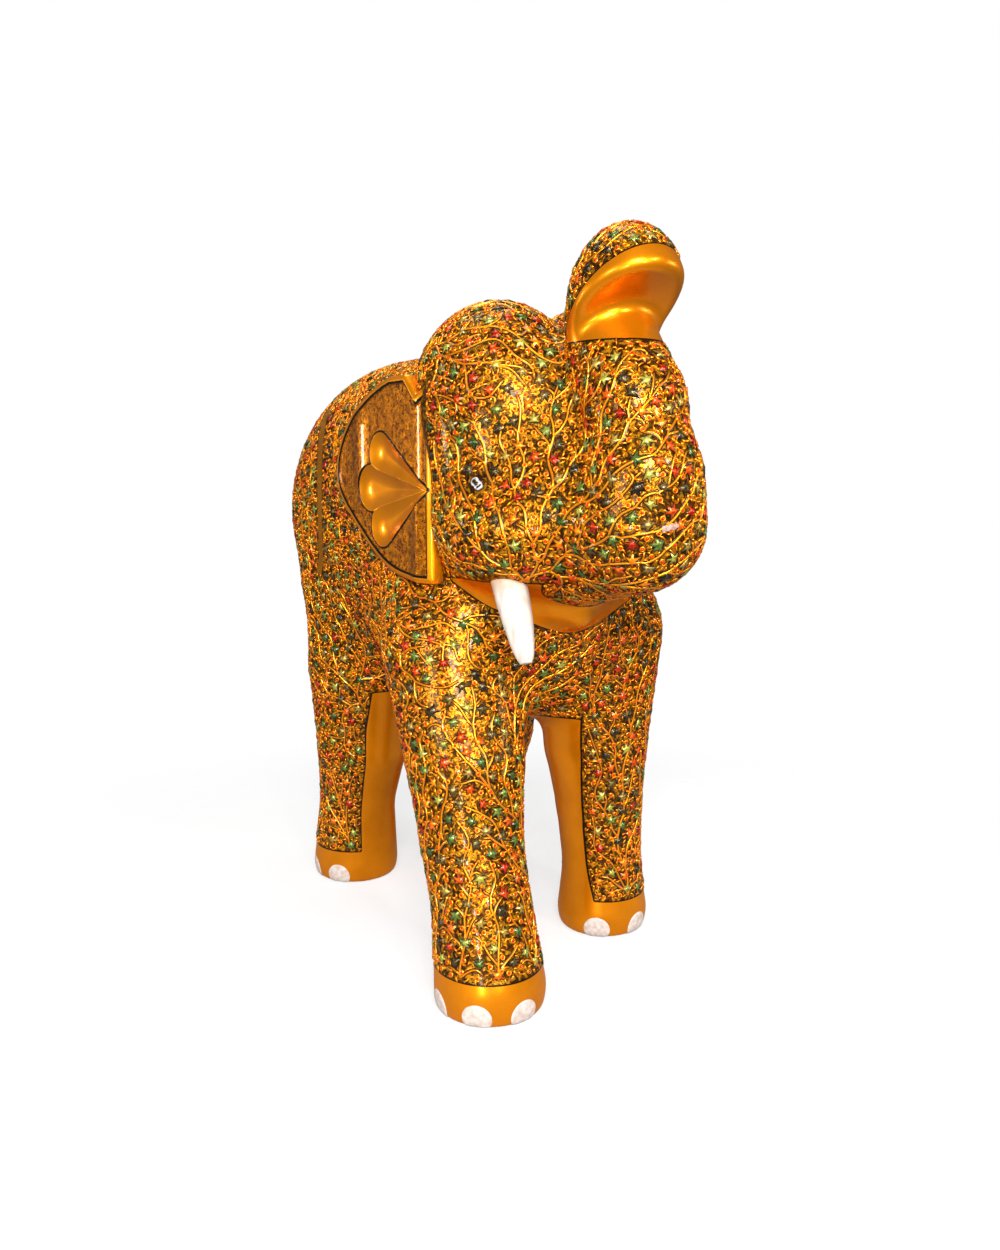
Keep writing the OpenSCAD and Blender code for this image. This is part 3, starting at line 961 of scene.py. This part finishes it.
# Short bent strokes, highest and widest in the middle: four three-cornered sections along each one
def strokes(name, spots, material):
    count = len(spots)
    normals = unit(slope(spots))
    heading = unit(np.cross(normals, chance.normal(0, 1, (count, 3))))
    aside = np.cross(normals, heading)
    u = np.float32([-1, -0.4, 0.4, 1])
    bend = chance.uniform(-0.9, 0.9, count)[:, None] * (u ** 2)[None]
    long = dab["length"] * chance.uniform(0.6, 1.25, count)
    centre = (spots[:, None] + heading[:, None] * (u[None] * long[:, None])[:, :, None]
              + aside[:, None] * (bend * dab["bend"])[:, :, None])
    half = dab["halfWidth"] * np.float32([0.45, 1, 1, 0.45])
    sideways = aside[:, None] - heading[:, None] * (u[None] * bend[:, 3:4])[:, :, None] * dab["bend"]
    rise = dab["height"] * np.float32([0.4, 1, 1, 0.4])
    left = centre - sideways * half[None, :, None] - normals[:, None] * dab["sunk"]
    right = centre + sideways * half[None, :, None] - normals[:, None] * dab["sunk"]
    crest = centre + normals[:, None] * rise[None, :, None]
    points = np.stack([left, crest, right], 2).reshape(-1, 3).astype(np.float32)
    start = (np.arange(count) * 3 * len(u))[:, None, None]
    ends = np.array([[0, 1, 2], [11, 10, 9]])
    quads = (start + ringQuads(len(u), 3)).reshape(-1, 4)
    mesh = meshOf(name, points, [quads, (start + ends).reshape(-1, 3)])
    return pieceOf(name, mesh, material)


print("dabbing the ground")
taken = list(zip((leafSpots, berrySpots, stems), dab["clear"]))
free = spaced(scattered(dab["tries"], 0.8), dab["gap"], taken)
split = np.arange(len(free)) % 2
strokes("goldDabsA", free[split == 0], looks["raised"])
strokes("goldDabsB", free[split == 1], looks["raised"])
print("dabs", len(free))


# The outer face of an ear: petals are ((s, t), radius) of their round ends, folds are soft ridges
# (middle along s, width, height) on the ground between them
earLook = dict(
    middle=(22, 42), rings=120, spokes=360, fanPoint=(2.0, 37.5),
    petals=[((36.0, 52.0), 8.6), ((44.0, 37.8), 9.8), ((35.0, 22.6), 9.0)],
    petalDepth=2.4, field=-0.9, edgeRound=1.12, rearFold=(53, 4.5, 0.8), frontFold=(8, 3.5, 0.9), turnIn=2.6)


# Distance to a petal in the plane of the ear: a cone from the fan point to the round end
def petalEdge(s, t, end, radius):
    fan = np.float32(earLook["fanPoint"])
    flat = np.stack([s - fan[0], t - fan[1], 0 * s], 1).astype(np.float32)
    return limb(flat, (0, 0, 0), 0.4, (end[0] - fan[0], end[1] - fan[1], 0), radius)


# Way out from the middle to the outline along each spoke, by halving
def spokeLength(angle):
    s0, t0 = earLook["middle"]
    near, far = np.zeros(len(angle)), np.full(len(angle), 90.0)
    for _ in range(32):
        half = (near + far) / 2
        out = earOutline(s0 + half * np.cos(angle), t0 + half * np.sin(angle)) > 0
        near, far = np.where(out, near, half), np.where(out, half, far)
    return near


def bell(x, middle, width, height):
    return height * np.exp(-((x - middle) / width) ** 2)


# An ear as a grid of rings and spokes over its outline, with a wall and a flat back
def earMesh(name, side):
    angle = np.arange(earLook["spokes"]) * 2 * np.pi / earLook["spokes"]
    reach = spokeLength(angle)
    share = np.linspace(0, 1, earLook["rings"] + 1)[1:] ** 0.9
    s0, t0 = earLook["middle"]
    s = np.append((s0 + share[:, None] * (reach * np.cos(angle))[None]).ravel(), s0)
    t = np.append((t0 + share[:, None] * (reach * np.sin(angle))[None]).ravel(), t0)
    edges = np.stack([petalEdge(s, t, end, radius) for end, radius in earLook["petals"]])
    petal = edges.min(0)
    outline = earOutline(s, t)
    border = outline + ear["border"]
    deep = np.clip(-edges / 8.0, 0, 1)
    scoop = (1 - (1 - deep) ** 2).max(0) * earLook["petalDepth"]
    fold = bell(s, *earLook["rearFold"]) * np.clip((t - 30) / 12, 0, 1) * np.clip((72 - t) / 8, 0, 1)
    fold += bell(s, *earLook["frontFold"]) * np.clip((38 - t) / 6, 0, 1)
    level = earLook["field"] * np.clip(-border / 0.8, 0, 1) + np.where(petal > 0, fold, 0)
    height = np.where(petal < 0, earLook["field"] + 0.3 - scoop, level)
    height -= earLook["edgeRound"] * (1 - np.sqrt(1 - np.clip(1 + outline / 2.0, 0, 1) ** 2))
    height -= earLook["turnIn"] * np.clip(1 - s / 9, 0, 1) ** 2
    co, si = math.cos(ear["slope"]), math.sin(ear["slope"])
    flat = [side * (ear["x"] + s * si), ear["y"] + s * co, ear["z"] + t]
    front = np.stack([flat[0] + side * height * co, flat[1] - height * si, flat[2]], 1)
    sunk = np.stack([flat[0] - side * ear["thick"] * co, flat[1] + ear["thick"] * si, flat[2]], 1)
    per, rings = earLook["spokes"], earLook["rings"]
    last, centre = (rings - 1) * per, rings * per
    points = np.concatenate([front, sunk[last:centre]])
    k = np.arange(per)
    nextK = (k + 1) % per
    wall = np.stack([k + last, k + centre + 1, nextK + centre + 1, nextK + last], 1)
    back = (k + centre + 1)[::-1][None]
    faces = [fanOf(centre, per), ringQuads(rings, per), wall, back]
    mesh = meshOf(name, points, faces if side < 0 else [f[:, ::-1] for f in faces])
    behind = np.full(per, 9.0)
    attach(mesh, "petal", np.concatenate([petal, behind]))
    attach(mesh, "border", np.concatenate([border, behind]))
    return mesh


# Plain gold petals and border, with ink lines round them and pen work and dots on the ground between
def earPaint():
    material, tree, shader, where = startMaterial("earPaint")
    petal, border = read(tree, "petal"), read(tree, "border")
    gold = place(tree, lustreGroup, Where=where, Deep=lustre["earDeep"], Bright=lustre["earBright"])
    scroll = place(tree, scrollGroup, Where=where, Scale=pen["earScale"], Width=pen["earWidth"])
    field = ramp(tree, scroll.outputs["Fill"], [(0.35, (0.26, 0.068, 0.001)), (0.6, (0.66, 0.20, 0.002))])
    field = mixed(tree, scroll.outputs["Ink"], field, pen["earInk"])
    dots = node(tree, "ShaderNodeTexVoronoi", Vector=where, Scale=pen["dotScale"])
    field = mixed(tree, past(tree, 0.24, dots.outputs["Distance"], 16.0), field, pen["earDot"])
    bare = maths(tree, "MAXIMUM", maths(tree, "MULTIPLY", petal, -5.0, clamp=True),
                 maths(tree, "MULTIPLY", border, 5.0, clamp=True))
    colour = mixed(tree, bare, field, gold.outputs["Color"])
    outside = maths(tree, "ABSOLUTE", maths(tree, "SUBTRACT", petal, 0.2))
    line = maths(tree, "MINIMUM", outside, maths(tree, "ABSOLUTE", border))
    colour = mixed(tree, past(tree, 0.50, line, 9.0), colour, pen["earLine"])
    feed(tree, shader, colour, gold.outputs["Roughness"])
    relief = maths(tree, "MULTIPLY", scroll.outputs["Ink"], maths(tree, "SUBTRACT", 1.0, bare))
    height = maths(tree, "SUBTRACT", maths(tree, "MULTIPLY", gold.outputs["Height"], 0.2), relief)
    bumped(tree, shader, height, 0.35, 0.00025)
    lacquer(shader, 0.75, 0.35, 0.06)
    return material


print("shaping the ears")
looks["ear"] = earPaint()
for side, name in ((-1, "ear_right"), (1, "ear_left")):
    pieceOf(name + "Plate", earMesh(name + "Plate", side), looks["ear"], [name])


# Round forms along a path: a ring of points at each step, square to the path. Path and radius are
# smooth curves near the stops (x, y, z, radius); bumps gives what the radius is multiplied by.
def swept(name, stops, steps, sides, bumps):
    stops = np.float64(stops)
    u = np.linspace(0, len(stops) - 1, steps)
    knot = np.arange(len(stops))
    smooth = np.stack([np.interp(u, knot, stops[:, i]) for i in range(4)], 1)
    for _ in range(int(steps / len(stops) * 1.5)):
        smooth[1:-1] = smooth[1:-1] * 0.5 + (smooth[:-2] + smooth[2:]) * 0.25
    path, radius = smooth[:, :3], smooth[:, 3]
    along = unit(np.gradient(path, axis=0))
    aside = unit(np.cross(along, (0.2, 0.9, 0.1)))
    over = np.cross(along, aside)
    angle = np.arange(sides) * 2 * np.pi / sides
    reach = radius[:, None] * bumps(np.linspace(0, 1, steps)[:, None], angle[None])
    ring = (path[:, None] + aside[:, None] * (reach * np.cos(angle))[:, :, None]
            + over[:, None] * (reach * np.sin(angle))[:, :, None])
    k = np.arange(sides)
    quads = ringQuads(steps, sides)[:, [0, 3, 2, 1]]
    mesh = meshOf(name, ring.reshape(-1, 3), [quads, k[::-1][None], (k + (steps - 1) * sides)[None]])
    attach(mesh, "along", np.repeat(np.linspace(0, 1, steps), sides))
    return mesh


# White paint, streaked along the tusk, tinged with gold at the root and worn off in spots at the point
def ivoryPaint():
    material, tree, shader, where = startMaterial("tuskPaint")
    along = read(tree, "along")
    streak = node(tree, "ShaderNodeMapping", Vector=where, Scale=(1, 1, 0.15)).outputs[0]
    grain = noise(tree, streak, 420.0, 4.0)
    spots = noise(tree, where, 210.0, 3.0)
    colour = ramp(tree, grain, [(0.25, (0.40, 0.31, 0.24)), (0.5, (0.52, 0.45, 0.39)),
                                (0.8, (0.60, 0.55, 0.50))])
    worn = maths(tree, "MULTIPLY", past(tree, spots, 0.62, 12.0), past(tree, along, 0.86, 9.0))
    colour = mixed(tree, worn, colour, (0.10, 0.055, 0.03, 1))
    tinged = maths(tree, "MULTIPLY", past(tree, 0.32, along, 9.0), 0.55)
    colour = mixed(tree, tinged, colour, (0.42, 0.22, 0.08, 1))
    feed(tree, shader, colour, maths(tree, "MULTIPLY_ADD", grain, 0.3, 0.32))
    bumped(tree, shader, maths(tree, "ADD", grain, spots), 0.25, 0.0004)
    shader.inputs["Coat Weight"].default_value = 0.15
    return material


# Paint or wood with one noise for colour, roughness (gain, least) and relief; stretch below one draws the
# noise out along the height
def mottled(name, stops, scale, detail, rough, relief=0.0, stretch=1.0, coat=()):
    material, tree, shader, where = startMaterial(name)
    drawn = node(tree, "ShaderNodeMapping", Vector=where, Scale=(1, 1, stretch)).outputs[0]
    grain = noise(tree, drawn, scale, detail)
    feed(tree, shader, ramp(tree, grain, stops), maths(tree, "MULTIPLY_ADD", grain, *rough))
    if relief:
        bumped(tree, shader, grain, relief, 0.0003)
    if coat:
        lacquer(shader, *coat)
    return material


looks["ivory"] = ivoryPaint()
looks["silver"] = mottled("eyeSilver", [(0.3, (0.28, 0.27, 0.29)), (0.7, (0.62, 0.62, 0.64))],
                          1500.0, 3.0, (0.3, 0.12), coat=(0.3, 0.4, 0.05))
looks["beech"] = mottled("bareBeech", [(0.3, (0.42, 0.25, 0.12)), (0.7, (0.66, 0.45, 0.26))],
                         700.0, 5.0, (0.2, 0.5), 0.3, 0.12)
looks["nail"] = mottled("toenailPaint", [(0.3, (0.42, 0.31, 0.26)), (0.55, (0.52, 0.44, 0.39)),
                                         (0.75, (0.60, 0.54, 0.50))], 500.0, 4.0, (0.3, 0.3), 0.2)
looks["chalk"] = mottled("bareChalk", [(0.3, (0.24, 0.13, 0.11)), (0.6, (0.38, 0.26, 0.23))],
                         700.0, 4.0, (0.3, 0.3), 0.2)

# The dowels, pins and the tail peg keep their own shape, in turned beech
for name in ("leg_dowels", "neck_dowels", "trunk_dowel", "ear_pins", "tail_peg"):
    for solid in [o for o in bpy.context.scene.objects if o.get("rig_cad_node") == name]:
        solid.data.materials.clear()
        solid.data.materials.append(looks["beech"])


print("turning the tusk and tail")


# The tusk is whittled: six soft flats and a slightly uneven girth
def tuskFlats(u, angle):
    return 1 + 0.02 * np.cos(6 * angle + 1.5 * u) + 0.015 * np.sin(9 * u + 2 * angle)


# The tail's tuft is grooved along its length like hair
def tuftGrooves(u, angle):
    tuft = np.clip((u - 0.66) / 0.12, 0, 1)
    return 1 + tuft * 0.10 * np.cos(9 * angle) + 0.03 * np.sin(30 * u) * (1 - tuft)


tusk = dict(steps=48, sides=36, stops=[
    (-33.2, -84, 180, 6.2), (-33, -93, 167, 6.6), (-33.6, -98, 159, 6.4), (-34, -103, 151, 5.7),
    (-34.4, -107, 144, 4.4), (-34.5, -109.0, 140, 3.3), (-34.5, -109.8, 138.0, 2.2)])
tail = dict(steps=72, sides=40, stops=[
    (0, 109, 231, 5.0), (0, 119, 216, 5.4), (0, 122, 200, 5.0), (0, 123, 182, 4.6), (0, 122, 165, 4.5),
    (0, 117, 149, 5.2), (0, 111, 137, 6.6), (0, 106, 128, 5.2), (0, 103, 123, 1.4)])
pieceOf("tuskRight", swept("tuskRight", tusk["stops"], tusk["steps"], tusk["sides"], tuskFlats),
        looks["ivory"], ["tusk_right"])
pieceOf("tailGold", swept("tailGold", tail["stops"], tail["steps"], tail["sides"], tuftGrooves),
        looks["plain"], ["tail"])

# Toenails: round patches of paint on each foot, cut off by the sole. Rows are shares of radius and thick.
nail = dict(height=3.9, radius=5.9, thick=0.3, sides=28, lowest=0.35,
            rows=[(0.3, 1), (0.6, 1), (0.85, 0.95), (0.95, 0.8), (1, 0.2), (1.01, -1.5)])
# Middle of each foot, its radius, and the turn of each nail from straight ahead towards +X
feet = dict(
    toenails_front_right=((-40, -91), 22, (11, -40, -92)),
    toenails_front_left=((40, -46.6), 20.3, (-39, 21, 81)),
    toenails_hind_right=((-40, 66), 21.3, (-45, -96)),
    toenails_hind_left=((40, 80), 21.3, (45, 96)),
)
print("painting the toenails and eyes")
nailRows = roundRows([(nail["radius"] * r, nail["thick"] * h) for r, h in nail["rows"]], nail["sides"])
for name, ((x, y), reach, turns) in feet.items():
    theta = np.radians(turns)
    spots = np.stack([x + reach * np.sin(theta), y - reach * np.cos(theta), 0 * theta + nail["height"]], 1)
    spots = settle(spots.astype(np.float32), 3)
    up = np.tile(np.float32((0, 0, 1)), (len(spots), 1))
    stamped(name + "Paint", spots, up, nailRows, nail["thick"], looks["nail"],
            stands=[name], lowest=nail["lowest"])


# Rows of an almond: a circle squeezed to points at its two ends
def almondRows(stops, narrow):
    angles = np.arange(24) * 15.0
    width = np.abs(np.cos(np.radians(angles))) ** 1.5 * (1 - narrow) + narrow
    return [[(a, r * w, h) for a, w in zip(angles, width)] for r, h in stops]


# Eyes: an almond of silver paint in an ink rim, with a dark slot and a stroke of ink above it. Parts are
# (place, heading, row stops, narrowness, height in the middle, look)
eyeSpots = settle(np.float32([(-44.9, -92.2, 201.8), (44.9, -92.2, 201.8)]), 3)
eyeLean = np.float32([(-0.6, 1.0, 1.0), (0.6, 1.0, 1.0)])
eyeAside = np.float32([(-0.6, 1.0, -1.0), (0.6, 1.0, -1.0)])
eyeLid = settle(eyeSpots - unit(eyeLean) * 1.9, 2)
eyeSlot = settle(eyeSpots + unit(eyeLean) * 0.5, 2)
eyeParts = dict(
    Rim=(eyeSpots, eyeLean, [(2.0, 0.3), (3.4, 0.3), (3.6, -0.5)], 0.48, 0.3, "ink"),
    Silver=(eyeSpots, eyeLean, [(1.2, 0.7), (2.4, 0.6), (3.0, 0.35), (3.05, -0.5)], 0.48, 0.75, "silver"),
    Slot=(eyeSlot, eyeLean, [(0.9, 0.95), (1.5, 0.85), (1.6, 0.2)], 0.36, 1.0, "ink"),
    Lid=(eyeLid, eyeAside, [(0.6, 0.85), (1.0, 0.75), (1.1, 0.2)], 0.25, 0.9, "ink"),
)
for k, name in enumerate(("eye_right", "eye_left")):
    for part, (spots, lean, stops, narrow, high, look) in eyeParts.items():
        stamped(name + part, spots[k:k + 1], lean[k:k + 1], almondRows(stops, narrow), high, looks[look],
                stands=[name] if part == "Silver" else ())

# A flaked spot on the trunk, where the ground coat shows: rim is (degrees, radius), rows are (share, height)
flake = dict(at=(-3.3, -153.7, 188.2), heading=(1, 0.1, 0.1), height=0.75,
             rim=[(0, 3.4), (25, 2.2), (60, 1.1), (95, 1.3), (130, 1.0), (165, 3.0), (200, 3.3), (235, 1.4),
                  (280, 0.8), (320, 1.5)],
             rows=[(0.7, 0.75), (1, 0.6), (1.02, -0.3)])
flakeRows = [[(a, r * g, h) for a, r in flake["rim"]] for g, h in flake["rows"]]
stamped("flakedSpot", settle(np.float32([flake["at"]]), 3), np.float32([flake["heading"]]), flakeRows,
        flake["height"], looks["chalk"])


print("setting up the camera, floor and lights")
view = dict(at=(-212.3, -437.9, 207.2), azimuth=27, pitch=8.4, lens=30.24, sensor=36, nearest=0.01)
camera = bpy.data.objects.new("camera", bpy.data.cameras.new("camera"))
bpy.context.scene.collection.objects.link(camera)
camera.location = toFrame(view["at"])
turn, dip = math.radians(view["azimuth"]), math.radians(view["pitch"])
ahead = Vector((math.sin(turn) * math.cos(dip), math.cos(turn) * math.cos(dip), -math.sin(dip)))
camera.rotation_euler = ahead.to_track_quat("-Z", "Y").to_euler()
camera.data.lens = view["lens"]
camera.data.sensor_width = view["sensor"]
camera.data.clip_start = view["nearest"]
bpy.context.scene.camera = camera


# The floor is a level disc. It takes a soft shadow near the feet and fades away outwards: clear is the
# least share that shows through it, fade is how fast that grows with the way out in metres.
disc = dict(radius=700, rings=39, sides=96, clear=0.62, fade=3.0, rough=0.6)


def floorMesh():
    sides = disc["sides"]
    angle = np.arange(sides) * 2 * np.pi / sides
    out = np.linspace(0, disc["radius"], disc["rings"] + 1)[1:, None]
    points = np.stack([out * np.cos(angle), out * np.sin(angle), 0 * out * angle], -1).reshape(-1, 3)
    faces = [ringQuads(disc["rings"], sides), fanOf(len(points), sides)]
    return meshOf("floor", np.vstack([points, [[0, 0, 0]]]), faces)


floorPaint, floorTree, floorShader, floorWhere = startMaterial("paleFloor")
grainy = noise(floorTree, floorWhere, 6.0, 3.0)
floorTree.links.new(ramp(floorTree, grainy, [(0, (0.80, 0.80, 0.80)), (1, (0.86, 0.86, 0.86))]),
                    floorShader.inputs["Base Color"])
floorShader.inputs["Roughness"].default_value = disc["rough"]
floorShader.inputs["Specular IOR Level"].default_value = 0.0
wayOut = node(floorTree, "ShaderNodeVectorMath", dict(operation="LENGTH"), i0=floorWhere).outputs["Value"]
faint = maths(floorTree, "MULTIPLY", wayOut, disc["fade"])
gone = maths(floorTree, "MAXIMUM", faint, disc["clear"], clamp=True)
clear = node(floorTree, "ShaderNodeBsdfTransparent").outputs[0]
faded = node(floorTree, "ShaderNodeMixShader", i0=gone, i1=floorShader.outputs[0], i2=clear).outputs[0]
floorTree.links.new(faded, floorTree.nodes["Material Output"].inputs["Surface"])
floorObject = bpy.data.objects.new("floor", floorMesh())
floorObject.data.materials.append(floorPaint)
bpy.context.scene.collection.objects.link(floorObject)

# The world is white to the camera and dim to the figure, a little dimmer still where it mirrors
sky = dict(strength=0.23, mirrored=-0.04)
world = bpy.data.worlds.new("studio")
world.use_nodes = True
background = world.node_tree.nodes["Background"]
background.inputs["Color"].default_value = (1, 1, 1, 1)
ray = node(world.node_tree, "ShaderNodeLightPath")
worldTree = world.node_tree
dimmed = maths(worldTree, "MULTIPLY_ADD", ray.outputs["Is Glossy Ray"], sky["mirrored"], sky["strength"])
strength = maths(worldTree, "MAXIMUM", dimmed, ray.outputs["Is Camera Ray"])
worldTree.links.new(strength, background.inputs["Strength"])
bpy.context.scene.world = world
bpy.context.scene.view_settings.view_transform = "Standard"

# Square lamps, in millimetres and watts, all turned to one point of the figure
lampAim = (0, -40, 170)
lamps = dict(
    key=dict(at=(-380, -800, 560), size=280, watts=12),
    left=dict(at=(-800, -350, 300), size=240, watts=2),
    right=dict(at=(700, -500, 350), size=260, watts=1.5),
    above=dict(at=(0, 200, 900), size=400, watts=3),
    sparkA=dict(at=(-160, -900, 330), size=70, watts=2.5),
    sparkB=dict(at=(-640, -760, 150), size=60, watts=2),
    sparkC=dict(at=(160, -860, 600), size=90, watts=3.5),
    streak=dict(at=(-890, 500, 240), size=120, watts=1.5),
)
for name, lamp in lamps.items():
    light = bpy.data.lights.new(name, "AREA")
    light.size = lamp["size"] * mm
    light.energy = lamp["watts"]
    holder = bpy.data.objects.new(name, light)
    bpy.context.scene.collection.objects.link(holder)
    holder.location = toFrame(lamp["at"])
    towards = Vector(toFrame(lampAim)) - holder.location
    holder.rotation_euler = towards.to_track_quat("-Z", "Y").to_euler()
